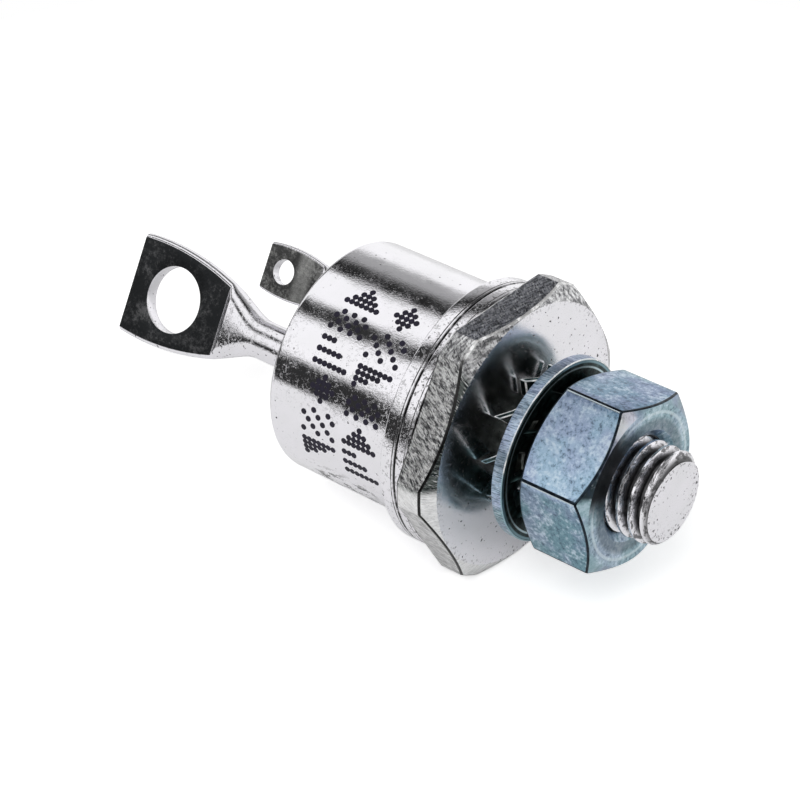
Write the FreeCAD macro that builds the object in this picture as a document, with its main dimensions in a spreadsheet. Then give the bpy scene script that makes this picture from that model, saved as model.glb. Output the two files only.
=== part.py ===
import FreeCAD, Part
import math
import os
from types import SimpleNamespace

import Sketcher
from FreeCAD import Placement, Rotation, Vector

# Stud-mounted thyristor in a welded metal can, lying on one flat of its hexagon.
# Each piece is drawn along its own Z, which points along the stud away from the can.
# Z = 0 is the seat: the hexagon's face that would meet a heatsink.
# In the finished part +X is the stud's direction, +Z is up, and Z = 0 is the table.
# All sizes are millimetres, angles are degrees.

driving = {
    # silicon and what it is soldered to
    "pellet_diameter": 10.0,
    "pellet_thickness": 0.45,
    "pellet_bevel": 0.3,
    "alloy_thickness": 0.08,
    "solder_thickness": 0.12,
    "solder_inset": 0.15,
    "disc_step": 0.6,
    "disc_thickness": 1.3,
    "pedestal_step": 0.6,
    "pedestal_height": 1.5,
    "coating_cover": 0.5,
    "coating_swell": 0.35,
    # welded can
    "cap_gap": 1.15,
    "can_wall": 0.7,
    "cap_height": 11.4,
    "can_edge_radius": 0.35,
    "flange_width": 1.03,
    "flange_thickness": 1.15,
    "weld_ring_thickness": 1.0,
    "weld_ring_fit": 0.05,
    "weld_ring_chamfer": 0.16,
    "braze_leg": 0.4,
    # hexagon and stud
    "rim_inset": 0.02,
    "hex_thickness": 2.4,
    "hex_corner_cut": 0.48,
    "hex_face_inset": 0.1,
    "hex_chamfer_angle": 30.0,
    "thread_diameter": 6.35,
    "thread_depth": 0.56,
    "thread_relief": 0.9,
    "stud_length": 11.5,
    "stud_chamfer": 0.33,
    # lock washer with twisted inner teeth
    "washer_gap": 2.06,
    "washer_diameter": 12.45,
    "washer_thickness": 0.8,
    "washer_rim": 1.25,
    "washer_turn": -16.0,
    "tooth_count": 10,
    "tooth_thickness": 0.5,
    "tooth_stud_gap": 0.3,
    "tooth_seat_gap": 0.1,
    "tooth_root": 0.4,
    "tooth_pull": 0.1,
    "tooth_root_height": 0.26,
    "tooth_rise_angle": 14.0,
    "tooth_root_angle": 7.0,
    "tooth_fall_angle": 26.0,
    # nut
    "nut_gap": 0.87,
    "nut_across_flats": 11.05,
    "nut_thickness": 5.2,
    "nut_face_inset": 0.1,
    "nut_chamfer_angle": 30.0,
    "nut_turn": -16.8,
    "nut_bore_gap": 0.05,
    "nut_countersink": 0.45,
    # cathode terminal, a forged pin with a flat eye
    "terminal_turn": 30.0,
    "cathode_offset": 1.5,
    "cathode_neck_diameter": 2.75,
    "cathode_length": 18.9,
    "cathode_tip_width": 7.2,
    "cathode_shoulder_width": 5.5,
    "cathode_side_radius": 20.0,
    "cathode_lug_length": 8.3,
    "cathode_lug_thickness": 1.0,
    "cathode_hole_diameter": 4.7,
    "cathode_hole_to_tip": 3.9,
    "cathode_taper": 3.6,
    # gate terminal, the smaller pin of the same kind
    "gate_offset": 3.4,
    "gate_neck_diameter": 2.0,
    "gate_length": 8.45,
    "gate_tip_width": 3.3,
    "gate_shoulder_width": 3.05,
    "gate_side_radius": 11.0,
    "gate_lug_length": 4.6,
    "gate_lug_thickness": 0.7,
    "gate_hole_diameter": 1.75,
    "gate_hole_to_tip": 1.6,
    "gate_taper": 1.6,
    # glass seals and what joins the pins to the pellet
    "cathode_glass_wall": 1.05,
    "gate_glass_wall": 0.65,
    "seal_length": 2.2,
    "seal_collar": 0.25,
    "seal_meniscus": 0.35,
    "seal_rim_drop": 0.12,
    "pin_reach": 0.8,
    "pin_grip": 1.6,
    "lead_diameter": 1.5,
    "lead_fit": 0.04,
    "foot_diameter": 4.4,
    "foot_step": 0.2,
    "foot_flange": 0.5,
    "foot_barrel_wall": 0.4,
    "foot_height": 1.8,
    "upper_disc_thickness": 0.5,
    "gate_pad_diameter": 1.0,
    "gate_pad_thickness": 0.15,
    "gate_pad_step": 0.6,
    "gate_wire_diameter": 0.5,
    "gate_wire_rise": 1.6,
    "sleeve_wall": 0.3,
    "sleeve_gap": 0.3,
}


class Size:
    """A number that remembers the sheet expression it comes from."""

    def __init__(self, number, text):
        self.number = number
        self.text = text

    def __add__(self, other):
        other = as_size(other)
        return Size(self.number + other.number, f"({self.text} + {other.text})")

    def __radd__(self, other):
        return as_size(other) + self

    def __sub__(self, other):
        other = as_size(other)
        return Size(self.number - other.number, f"({self.text} - {other.text})")

    def __rsub__(self, other):
        return as_size(other) - self

    def __mul__(self, other):
        other = as_size(other)
        return Size(self.number * other.number, f"({self.text} * {other.text})")

    def __rmul__(self, other):
        return as_size(other) * self

    def __truediv__(self, other):
        other = as_size(other)
        return Size(self.number / other.number, f"({self.text} / {other.text})")

    def __neg__(self):
        return Size(-self.number, f"(0 - {self.text})")


def as_size(value):
    if isinstance(value, Size):
        return value
    return Size(value, str(value))


def sine(angle):
    return Size(math.sin(math.radians(angle.number)), f"sin({angle.text})")


def cosine(angle):
    return Size(math.cos(math.radians(angle.number)), f"cos({angle.text})")


def tangent(angle):
    return Size(math.tan(math.radians(angle.number)), f"tan({angle.text})")


os.makedirs("parts", exist_ok=True)
doc = FreeCAD.newDocument("thyristor")
sheet = doc.addObject("Spreadsheet::Sheet", "Sizes")
for row, (alias, number) in enumerate(driving.items(), start=1):
    sheet.set(f"A{row}", alias)
    sheet.set(f"B{row}", str(number))
    sheet.setAlias(f"B{row}", alias)
doc.recompute()

s = SimpleNamespace(**{alias: Size(number, f"Sizes.{alias}") for alias, number in driving.items()})

# Radii, from the pellet outwards to the hexagon
pellet_edge = s.pellet_diameter / 2
pellet_rim = pellet_edge - s.pellet_bevel
disc_edge = pellet_edge + s.disc_step
pedestal_edge = disc_edge + s.pedestal_step
cap_bore = pedestal_edge + s.cap_gap
can_edge = cap_bore + s.can_wall
flange_edge = can_edge + s.flange_width
flat_height = flange_edge + s.rim_inset
hex_corner = 2 * flat_height / math.sqrt(3)
hex_turned = hex_corner - s.hex_corner_cut
hex_face = flat_height - s.hex_face_inset
thread_edge = s.thread_diameter / 2

# Levels along the stud's axis, from the seat back towards the terminals
hex_back = -s.hex_thickness
ring_back = hex_back - s.weld_ring_thickness
flange_back = ring_back - s.flange_thickness
can_top = ring_back - s.cap_height
can_ceiling = can_top + s.can_wall
pedestal_top = hex_back - s.pedestal_height
disc_under = pedestal_top - s.solder_thickness
disc_top = disc_under - s.disc_thickness
pellet_under = disc_top - s.alloy_thickness
pellet_top = pellet_under - s.pellet_thickness
upper_disc_under = pellet_top - s.solder_thickness
upper_disc_top = upper_disc_under - s.upper_disc_thickness
foot_under = upper_disc_top - s.solder_thickness
foot_top = foot_under - s.foot_height
pad_top = pellet_top - s.gate_pad_thickness
seal_end = can_top + s.seal_length
pin_end = seal_end + s.pin_reach
socket_floor = pin_end - s.pin_grip + s.lead_fit
sleeve_start = pad_top - s.gate_wire_rise

# Levels from the seat out along the stud
ring_face = s.washer_gap + s.washer_thickness
nut_under = ring_face + s.nut_gap
nut_top = nut_under + s.nut_thickness

# Where the contacts sit on the pellet, measured from the axis along the line of the terminals
foot_edge = s.foot_diameter / 2
foot_offset = pellet_rim - s.coating_cover - s.foot_step - foot_edge
pad_offset = pellet_rim - s.coating_cover - s.gate_pad_step - s.gate_pad_diameter / 2

origin_x = (s.cathode_length - can_top - s.stud_length) / 2
along_stud = Rotation(Vector(1, 0, 1), 180)
cuts = []
sub_parts = []

# How far a cutter runs past the face that it starts from
overrun = as_size(1.0)

# A terminal's taper from flat to round. Each section has its share of the taper's length, and of
# the change in width, thickness and corner radius. The first two make the ramp where the die ended.
forged_sections = [
    (0.0, 0.0, 0.0, 0.0),
    (0.18, 0.2, 0.62, 0.55),
    (0.48, 0.56, 0.84, 0.8),
    (0.78, 0.89, 0.97, 0.95),
    (1.0, 1.0, 1.0, 1.0)]
forged_ease = 0.3  # chamfer along the lug's sides, over its thickness
forged_corner = 0.38  # corner radius where the ramp leaves the lug, over its thickness
forged_inset = 0.04  # how much smaller it stays than the lug and the neck, over its thickness
round_corner = 0.49  # corner radius of the round end, over its diameter


def bind(thing, name, size):
    thing.setExpression(name, as_size(size).text)


def seat(thing, label, offset=0, level=0, turn=0):
    """Turn a piece's Z along the stud and bring it to its line and level."""
    offset = as_size(offset)
    thing.Label = label
    thing.Placement = Placement(Vector(), along_stud * Rotation(Vector(0, 0, 1), as_size(turn).number))
    bind(thing, "Placement.Base.x", origin_x + level)
    bind(thing, "Placement.Base.y", offset * sine(s.terminal_turn))
    bind(thing, "Placement.Base.z", flat_height + offset * cosine(s.terminal_turn))
    sub_parts.append(thing)
    return thing


def new_body(label, offset=0, turn=0):
    return seat(doc.addObject("PartDesign::Body", label), label, offset, turn=turn)


def disc(label, diameter, thickness, level, offset=0):
    """A plain round piece whose far face, towards the terminals, is at the level given."""
    piece = doc.addObject("Part::Cylinder", label)
    bind(piece, "Radius", diameter / 2)
    bind(piece, "Height", thickness)
    return seat(piece, label, offset, level)


def datum(body, role):
    return [feature for feature in body.Origin.OriginFeatures if feature.Role == role][0]


def new_sketch(body, name, role, rise=None, swing=None):
    """A sketch on one of the body's own planes, raised along its normal or swung about Z."""
    drawn = body.newObject("Sketcher::SketchObject", name)
    drawn.AttachmentSupport = [(datum(body, role), "")]
    drawn.MapMode = "FlatFace"
    if rise is not None:
        bind(drawn, "AttachmentOffset.Base.z", rise)
    if swing is not None:
        drawn.AttachmentOffset = Placement(Vector(), Rotation(Vector(0, 1, 0), swing.number))
        bind(drawn, "AttachmentOffset.Rotation.Angle", swing)
    return drawn


def pin_point(drawn, edge, end, across, up):
    """Hold one point of a sketch at its two distances from the sketch's origin."""
    for kind, size, axis in (("DistanceX", across, -2), ("DistanceY", up, -1)):
        if isinstance(size, Size):
            index = drawn.addConstraint(Sketcher.Constraint(kind, -1, 1, edge, end, size.number))
            drawn.setExpression(f"Constraints[{index}]", size.text)
        else:
            drawn.addConstraint(Sketcher.Constraint("PointOnObject", edge, end, axis))


def point(corner):
    return Vector(as_size(corner[0]).number, as_size(corner[1]).number, 0)


def bulged(start, end, radius):
    """The arc of one radius from start to end that bulges to the right of its chord."""
    chord = end - start
    half = chord.Length / 2
    sag = radius - math.sqrt(radius * radius - half * half)
    outward = Vector(chord.y, -chord.x, 0).normalize()
    return Part.Arc(start, start + chord / 2 + outward * sag, end)


def draw_outline(drawn, corners):
    """A closed outline. A corner with a third value starts an arc of that radius."""
    first = drawn.GeometryCount
    count = len(corners)
    for index, corner in enumerate(corners):
        start = point(corner)
        end = point(corners[(index + 1) % count])
        if len(corner) == 3:
            edge = drawn.addGeometry(bulged(start, end, corner[2].number))
        else:
            edge = drawn.addGeometry(Part.LineSegment(start, end))
        pin_point(drawn, edge, 1, corner[0], corner[1])
    for index, corner in enumerate(corners):
        edge = first + index
        following = first + (index + 1) % count
        drawn.addConstraint(Sketcher.Constraint("Coincident", edge, 2, following, 1))
        if len(corner) == 3:
            radius = drawn.addConstraint(Sketcher.Constraint("Radius", edge, corner[2].number))
            drawn.setExpression(f"Constraints[{radius}]", corner[2].text)


def draw_circle(drawn, diameter, across=0, up=0):
    centre = Vector(as_size(across).number, as_size(up).number, 0)
    edge = drawn.addGeometry(Part.Circle(centre, Vector(0, 0, 1), diameter.number / 2))
    if isinstance(across, Size) or isinstance(up, Size):
        pin_point(drawn, edge, 3, across, up)
    else:
        drawn.addConstraint(Sketcher.Constraint("Coincident", edge, 3, -1, 1))
    size = drawn.addConstraint(Sketcher.Constraint("Diameter", edge, diameter.number))
    drawn.setExpression(f"Constraints[{size}]", diameter.text)


def draw_rounded(drawn, width, thickness, radius):
    """A rectangle with round corners about the sketch's origin."""
    side = width / 2
    face = thickness / 2
    draw_outline(drawn, [
        (radius - side, -face),
        (side - radius, -face, radius),
        (side, radius - face),
        (side, face - radius, radius),
        (side - radius, face),
        (radius - side, face, radius),
        (-side, face - radius),
        (-side, radius - face, radius)])


def draw_hexagon(drawn, across_flats):
    """A hexagon with flats at +X and -X."""
    flat = across_flats / 2
    step = across_flats / math.sqrt(12)
    corner = across_flats / math.sqrt(3)
    corners = [(flat, -step), (flat, step), (0, corner), (-flat, step), (-flat, -step), (0, -corner)]
    draw_outline(drawn, corners)


def pad(body, name, profile, length, both_ways=False):
    made = body.newObject("PartDesign::Pad", name)
    made.Profile = profile
    bind(made, "Length", length)
    made.SideType = "Symmetric" if both_ways else "One side"
    return made


def bore_through(body, name, profile):
    made = body.newObject("PartDesign::Pocket", name)
    made.Profile = profile
    made.Type = "ThroughAll"
    made.SideType = "Symmetric"
    cuts.append(made)
    return made


def bore_blind(body, name, profile, depth):
    """A pocket from the sketch back towards the terminals."""
    made = body.newObject("PartDesign::Pocket", name)
    made.Profile = profile
    bind(made, "Length", depth)
    cuts.append(made)
    return made


def turned(body, name, corners, cut=False):
    """A revolved outline of radius and level about the body's Z, added or cut away."""
    profile = new_sketch(body, f"{name}_outline", "XZ_Plane")
    draw_outline(profile, corners)
    kind = "PartDesign::Groove" if cut else "PartDesign::Revolution"
    made = body.newObject(kind, name)
    made.Profile = profile
    made.ReferenceAxis = (profile, ["V_Axis"])
    made.Angle = 360
    if cut:
        cuts.append(made)
    return made


def turned_ring(label, inner, outer, low, high, offset=0):
    """A plain turned ring between two radii and two levels."""
    body = new_body(label, offset)
    turned(body, f"{label}_turned", [(inner, low), (outer, low), (outer, high), (inner, high)])
    return body


def ease_sides(body, name, base, size):
    """Chamfer the curved edges of a flat lug."""
    doc.recompute()
    found = [f"Edge{index}" for index, edge in enumerate(base.Shape.Edges, start=1)
             if isinstance(edge.Curve, Part.Circle)]
    made = body.newObject("PartDesign::Chamfer", name)
    made.Base = (base, found)
    bind(made, "Size", size)


def make_stud_base():
    """Copper base: hexagon with turned corners, stud on one side and pedestal on the other."""
    body = new_body("stud_base")
    hexagon = new_sketch(body, "hexagon", "XY_Plane", rise=hex_back)
    draw_hexagon(hexagon, 2 * flat_height)
    pad(body, "hexagon_block", hexagon, s.hex_thickness)
    slope = (hex_turned - hex_face) * tangent(s.hex_chamfer_angle)
    turned(body, "hexagon_corners", [
        (hex_face, 0),
        (hex_turned, -slope),
        (hex_turned, hex_back - overrun),
        (hex_corner + overrun, hex_back - overrun),
        (hex_corner + overrun, overrun),
        (hex_face, overrun)], cut=True)
    relief = thread_edge - s.thread_depth
    turned(body, "stud_and_pedestal", [
        (0, s.stud_length),
        (0, pedestal_top),
        (pedestal_edge, pedestal_top),
        (pedestal_edge, hex_back / 2),
        (relief, hex_back / 2),
        (relief, s.thread_relief),
        (thread_edge, s.thread_relief + s.thread_depth),
        (thread_edge, s.stud_length - s.stud_chamfer),
        (thread_edge - s.stud_chamfer, s.stud_length)])


def make_weld_ring():
    """Steel ring brazed to the copper base, which the can is welded to."""
    body = new_body("weld_ring")
    bore = pedestal_edge + s.weld_ring_fit
    nip = s.weld_ring_chamfer
    turned(body, "weld_ring_turned", [
        (bore, ring_back),
        (flange_edge - nip, ring_back),
        (flange_edge, ring_back + nip),
        (flange_edge, hex_back - nip),
        (flange_edge - nip, hex_back),
        (bore, hex_back)])


def make_braze_ring():
    """Fillet of braze in the corner between pedestal and weld ring."""
    body = new_body("braze_ring")
    turned(body, "braze_ring_turned", [
        (pedestal_edge, ring_back),
        (pedestal_edge, ring_back - s.braze_leg),
        (pedestal_edge + s.braze_leg, ring_back)])


def make_cap_shell():
    """Drawn steel can with a weld flange and two collared holes for the glass seals."""
    body = new_body("cap_shell", turn=-s.terminal_turn)
    nip = s.weld_ring_chamfer
    corner = s.can_edge_radius
    halfway = corner * (1 - math.sqrt(0.5))
    turned(body, "cap_shell_drawn", [
        (0, can_top),
        (can_edge - corner, can_top),
        (can_edge - halfway, can_top + halfway),
        (can_edge, can_top + corner),
        (can_edge, flange_back),
        (flange_edge - nip, flange_back),
        (flange_edge, flange_back + nip),
        (flange_edge, ring_back - nip),
        (flange_edge - nip, ring_back),
        (cap_bore, ring_back),
        (cap_bore, can_ceiling),
        (0, can_ceiling)])

    collars = new_sketch(body, "collar_circles", "XY_Plane", rise=can_ceiling - s.can_wall / 2)
    holes = new_sketch(body, "seal_holes", "XY_Plane")
    for offset, seal in ((-s.cathode_offset, cathode_seal), (s.gate_offset, gate_seal)):
        draw_circle(collars, seal + 2 * s.seal_collar, across=offset)
        draw_circle(holes, seal, across=offset)
    pad(body, "collars", collars, s.seal_length - s.can_wall / 2)
    bore_through(body, "seal_bores", holes)


def make_glass(label, offset, neck, seal):
    """Glass bead between the can and a pin, creeping a little up the pin."""
    body = new_body(label, offset)
    creep = neck / 2 + s.seal_meniscus
    turned(body, f"{label}_bead", [
        (neck / 2, can_top - s.seal_meniscus),
        (creep, can_top + s.seal_rim_drop),
        (seal / 2, can_top + s.seal_rim_drop),
        (seal / 2, seal_end),
        (neck / 2, seal_end)])


def make_terminal(kind, offset):
    """Round pin forged flat at its end: eye, shoulder, taper to the neck, bore for its lead."""
    def own(name):
        return getattr(s, f"{kind}_{name}")

    label = f"{kind}_terminal"
    body = new_body(label, offset, turn=-s.terminal_turn)
    tip = can_top - own("length")
    shoulder = tip + own("lug_length")
    neck_start = shoulder + own("taper")
    half_tip = own("tip_width") / 2
    half_shoulder = own("shoulder_width") / 2
    neck = own("neck_diameter")
    thin = own("lug_thickness")

    lug = new_sketch(body, f"{label}_lug", "XZ_Plane")
    draw_outline(lug, [
        (-half_tip, tip),
        (half_tip, tip, own("side_radius")),
        (half_shoulder, shoulder),
        (-half_shoulder, shoulder, own("side_radius"))])
    flat = pad(body, f"{label}_flat", lug, thin, both_ways=True)
    ease_sides(body, f"{label}_sides", flat, thin * forged_ease)

    inset = thin * forged_inset
    sections = []
    for index, (share, narrowed, thickened, rounded) in enumerate(forged_sections):
        section = new_sketch(body, f"{label}_section_{index}", "XY_Plane",
                             rise=shoulder + own("taper") * share)
        width = own("shoulder_width") * (1 - narrowed) + neck * narrowed - inset
        thickness = thin * (1 - thickened) + neck * thickened - inset
        corner = thin * forged_corner * (1 - rounded) + neck * round_corner * rounded
        draw_rounded(section, width, thickness, corner)
        sections.append(section)
    ramp = body.newObject("PartDesign::AdditiveLoft", f"{label}_ramp")
    ramp.Profile = sections[0]
    ramp.Sections = sections[1:2]
    ramp.Ruled = True
    taper = body.newObject("PartDesign::AdditiveLoft", f"{label}_taper")
    taper.Profile = sections[1]
    taper.Sections = sections[2:]
    taper.Ruled = True

    round_part = new_sketch(body, f"{label}_round", "XY_Plane", rise=neck_start)
    draw_circle(round_part, neck)
    pad(body, f"{label}_neck", round_part, pin_end - neck_start)

    eye = new_sketch(body, f"{label}_eye", "XZ_Plane")
    draw_circle(eye, own("hole_diameter"), up=tip + own("hole_to_tip"))
    bore_through(body, f"{label}_hole", eye)

    lead = s.lead_diameter if kind == "cathode" else s.gate_wire_diameter
    socket = new_sketch(body, f"{label}_socket", "XY_Plane", rise=pin_end)
    draw_circle(socket, lead + 2 * s.lead_fit)
    bore_blind(body, f"{label}_bore", socket, s.pin_grip)


def make_lead(label, offset, diameter, start_shift, levels):
    """Lead from its contact up into the pin, leaning over between its two straight ends."""
    body = new_body(label, offset, turn=-s.terminal_turn)
    shifts = [start_shift, start_shift, 0, 0]
    sections = []
    for index, (shift, level) in enumerate(zip(shifts, levels)):
        section = new_sketch(body, f"{label}_section_{index}", "XY_Plane", rise=level)
        draw_circle(section, diameter, across=shift)
        sections.append(section)
    run = body.newObject("PartDesign::AdditiveLoft", f"{label}_run")
    run.Profile = sections[0]
    run.Sections = sections[1:]
    run.Ruled = True


def make_stack():
    """Solders, discs, pellet and contacts, one on the other from the pedestal up."""
    inset = 2 * s.solder_inset
    disc("base_solder", 2 * disc_edge - inset, s.solder_thickness, disc_under)
    disc("lower_disc", 2 * disc_edge, s.disc_thickness, disc_top)
    disc("alloy_layer", 2 * pellet_edge - inset, s.alloy_thickness, pellet_under)
    pellet = new_body("silicon_pellet")
    turned(pellet, "silicon_pellet_ground", [
        (0, pellet_under),
        (pellet_edge, pellet_under),
        (pellet_rim, pellet_top),
        (0, pellet_top)])
    coating = new_body("junction_coating")
    cover = pellet_rim - s.coating_cover
    turned(coating, "junction_coating_bead", [
        (pellet_edge - s.solder_inset, disc_top),
        (disc_edge - s.solder_inset, disc_top),
        (pellet_edge, pellet_top - s.coating_swell),
        (cover + s.coating_swell, pellet_top - s.coating_swell),
        (cover, pellet_top),
        (pellet_rim, pellet_top),
        (pellet_edge, pellet_under),
        (pellet_edge - s.solder_inset, pellet_under)])
    disc("disc_solder", s.foot_diameter - inset, s.solder_thickness, upper_disc_under, -foot_offset)
    disc("upper_disc", s.foot_diameter, s.upper_disc_thickness, upper_disc_top, -foot_offset)
    disc("foot_solder", s.foot_diameter - inset, s.solder_thickness, foot_under, -foot_offset)
    disc("gate_pad", s.gate_pad_diameter, s.gate_pad_thickness, pad_top, pad_offset)


def make_lead_foot():
    """Copper foot of the cathode lead: a flange soldered down, and a barrel round the lead."""
    body = new_body("lead_foot", -foot_offset)
    bore = s.lead_diameter / 2 + s.lead_fit
    barrel = bore + s.foot_barrel_wall
    floor = foot_under - s.foot_flange
    turned(body, "lead_foot_turned", [
        (0, foot_under),
        (foot_edge - s.solder_inset, foot_under),
        (foot_edge - s.solder_inset, floor),
        (barrel, floor),
        (barrel, foot_top),
        (bore, foot_top),
        (bore, floor),
        (0, floor)])


def make_lock_washer():
    """Ring with inner teeth, each twisted so that one end bites the seat and one the nut."""
    body = new_body("lock_washer", turn=s.washer_turn)
    ring_edge = s.washer_diameter / 2
    ring_bore = ring_edge - s.washer_rim
    ring = new_sketch(body, "washer_ring", "XY_Plane", rise=s.washer_gap)
    draw_circle(ring, s.washer_diameter)
    draw_circle(ring, 2 * ring_bore)
    pad(body, "washer_flat", ring, s.washer_thickness)

    inner = thread_edge + s.tooth_stud_gap
    half = s.tooth_thickness / 2
    mid_ring = s.washer_gap + s.washer_thickness / 2
    low_end = s.tooth_seat_gap + half
    high_end = nut_under - s.tooth_seat_gap - half
    pulled = ring_bore - s.tooth_pull
    half_fall = (s.tooth_fall_angle + s.tooth_root_angle) / 2
    stations = [
        (-s.tooth_rise_angle, high_end, pulled),
        (-s.tooth_root_angle, mid_ring + s.tooth_root_height / 2, ring_bore + s.tooth_root),
        (s.tooth_root_angle, mid_ring - s.tooth_root_height / 2, ring_bore + s.tooth_root),
        (half_fall, (mid_ring + low_end) / 2, ring_bore),
        (s.tooth_fall_angle, low_end, pulled)]
    sections = []
    for index, (swing, level, outer) in enumerate(stations):
        section = new_sketch(body, f"tooth_section_{index}", "XZ_Plane", swing=swing)
        draw_outline(section, [(inner, level - half), (outer, level - half),
                               (outer, level + half), (inner, level + half)])
        sections.append(section)
    tooth = body.newObject("PartDesign::AdditiveLoft", "tooth")
    tooth.Profile = sections[0]
    tooth.Sections = sections[1:]
    tooth.Ruled = True
    teeth = body.newObject("PartDesign::PolarPattern", "teeth")
    teeth.Originals = [tooth]
    teeth.Axis = (datum(body, "Z_Axis"), [""])
    teeth.Angle = 360
    bind(teeth, "Occurrences", s.tooth_count)
    body.Tip = teeth


def make_hex_nut():
    """Hexagon nut, chamfered at both faces, with a countersunk bore."""
    body = new_body("hex_nut", turn=s.nut_turn)
    flat = s.nut_across_flats / 2
    corner = 2 * flat / math.sqrt(3)
    block = new_sketch(body, "nut_hexagon", "XY_Plane", rise=nut_under)
    draw_hexagon(block, s.nut_across_flats)
    pad(body, "nut_block", block, s.nut_thickness)
    face = flat - s.nut_face_inset
    outside = corner + overrun
    slope = (outside - face) * tangent(s.nut_chamfer_angle)
    for name, level, way in (("nut_top_chamfer", nut_top, 1), ("nut_under_chamfer", nut_under, -1)):
        turned(body, name, [
            (face, level),
            (outside, level - slope * way),
            (outside, level + overrun * way),
            (face, level + overrun * way)], cut=True)
    bore = thread_edge + s.nut_bore_gap
    sink = s.nut_countersink
    turned(body, "nut_bore", [
        (0, nut_under - overrun),
        (bore + sink, nut_under - overrun),
        (bore + sink, nut_under),
        (bore, nut_under + sink),
        (bore, nut_top - sink),
        (bore + sink, nut_top),
        (bore + sink, nut_top + overrun),
        (0, nut_top + overrun)], cut=True)


cathode_seal = s.cathode_neck_diameter + 2 * s.cathode_glass_wall
gate_seal = s.gate_neck_diameter + 2 * s.gate_glass_wall

make_stud_base()
make_weld_ring()
make_braze_ring()
make_stack()
make_lead_foot()
make_lead("cathode_lead", -s.cathode_offset, s.lead_diameter, s.cathode_offset - foot_offset,
          [foot_under - s.foot_flange, foot_top - s.lead_fit, pin_end + s.lead_fit, socket_floor])
make_lead("gate_wire", s.gate_offset, s.gate_wire_diameter, pad_offset - s.gate_offset,
          [pad_top, pad_top - s.gate_wire_rise / 2, sleeve_start, socket_floor])
sleeve_bore = s.gate_wire_diameter / 2 + s.lead_fit
turned_ring("gate_sleeve", sleeve_bore, sleeve_bore + s.sleeve_wall,
            pin_end + s.sleeve_gap, sleeve_start, s.gate_offset)
make_cap_shell()
make_glass("cathode_glass", -s.cathode_offset, s.cathode_neck_diameter, cathode_seal)
make_glass("gate_glass", s.gate_offset, s.gate_neck_diameter, gate_seal)
make_terminal("cathode", -s.cathode_offset)
make_terminal("gate", s.gate_offset)
make_lock_washer()
make_hex_nut()
doc.recompute()

for thing in doc.Objects:
    if "Invalid" in thing.State or "Error" in thing.State:
        raise RuntimeError(f"{thing.Name} did not rebuild: {thing.State}")
for cut in cuts:
    before = cut.BaseFeature.Shape.Volume
    if not cut.Shape.Volume < before:
        raise RuntimeError(f"{cut.Name} cuts nothing")
for part in sub_parts:
    if part.Shape.isNull() or not part.Shape.isValid() or len(part.Shape.Solids) != 1:
        raise RuntimeError(f"{part.Label} is not one sound solid")
for part in sub_parts:
    part.Shape.exportStep(f"parts/{part.Label}.step")
    print(f"{part.Label}: {part.Shape.Volume:.2f} cubic mm")
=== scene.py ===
import math
from types import SimpleNamespace

import bpy
from mathutils import Matrix, Quaternion, Vector


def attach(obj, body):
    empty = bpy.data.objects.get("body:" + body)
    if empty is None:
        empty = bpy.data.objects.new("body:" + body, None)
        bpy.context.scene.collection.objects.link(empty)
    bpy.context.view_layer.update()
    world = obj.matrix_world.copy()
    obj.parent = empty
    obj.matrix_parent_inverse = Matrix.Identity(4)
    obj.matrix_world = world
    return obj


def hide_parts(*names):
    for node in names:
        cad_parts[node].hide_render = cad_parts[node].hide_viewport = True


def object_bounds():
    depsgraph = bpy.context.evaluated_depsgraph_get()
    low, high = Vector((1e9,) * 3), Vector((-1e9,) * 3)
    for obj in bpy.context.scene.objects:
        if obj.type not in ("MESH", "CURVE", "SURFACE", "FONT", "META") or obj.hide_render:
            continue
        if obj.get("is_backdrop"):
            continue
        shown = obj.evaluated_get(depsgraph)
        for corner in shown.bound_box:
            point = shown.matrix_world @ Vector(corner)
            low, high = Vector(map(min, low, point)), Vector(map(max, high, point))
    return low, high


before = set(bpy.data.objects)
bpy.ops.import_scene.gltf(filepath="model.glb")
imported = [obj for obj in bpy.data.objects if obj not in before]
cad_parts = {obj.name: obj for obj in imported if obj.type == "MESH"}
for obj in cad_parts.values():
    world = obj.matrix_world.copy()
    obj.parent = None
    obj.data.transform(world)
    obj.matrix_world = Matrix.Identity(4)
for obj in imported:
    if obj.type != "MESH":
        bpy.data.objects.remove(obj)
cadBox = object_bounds()

# Places along the stud are millimetres from the hexagon's front face, and point out along the stud.
mm = 0.001
seatPlace = 11.1 * mm  # X of the hexagon's front face
axisHeight = 9.1 * mm  # height of the stud's axis over the table
axisCentre = (0, 0, axisHeight)
closeTogether = 0.002 * mm  # points nearer than this become one
slack = 0.01  # millimetres by which a place or radius may be off
# faces round a turned shape
fineTurn = 192
plainTurn = 96
smallTurn = 64
slant = -30  # the terminals' line leans over by this, in degrees from upright


def along(place):
    return seatPlace + place * mm


def axisPoint(place, up=0):
    return along(place), 0, axisHeight + up * mm


def grey(value):
    return (value,) * 3


def pick(piece):
    bpy.ops.object.select_all(action="DESELECT")
    piece.select_set(True)
    bpy.context.view_layer.objects.active = piece


def startEdit(piece):
    pick(piece)
    bpy.ops.object.mode_set(mode="EDIT")
    bpy.ops.mesh.select_mode(type="VERT")
    bpy.ops.mesh.select_all(action="SELECT")


def endEdit():
    bpy.ops.object.mode_set(mode="OBJECT")


def pickParts(piece, kind, wanted):
    # leaves edit mode and comes back with the wanted vertices or edges selected
    bpy.ops.mesh.select_mode(type=kind)
    bpy.ops.mesh.select_all(action="DESELECT")
    endEdit()
    points = piece.data.vertices
    if kind == "VERT":
        for vertex in points:
            vertex.select = wanted(vertex.co)
    else:
        for edge in piece.data.edges:
            edge.select = wanted(*(points[end].co for end in edge.vertices))
    bpy.ops.object.mode_set(mode="EDIT")


def extrude(*shift):
    bpy.ops.mesh.extrude_region_move(TRANSFORM_OT_translate={"value": shift})


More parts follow.
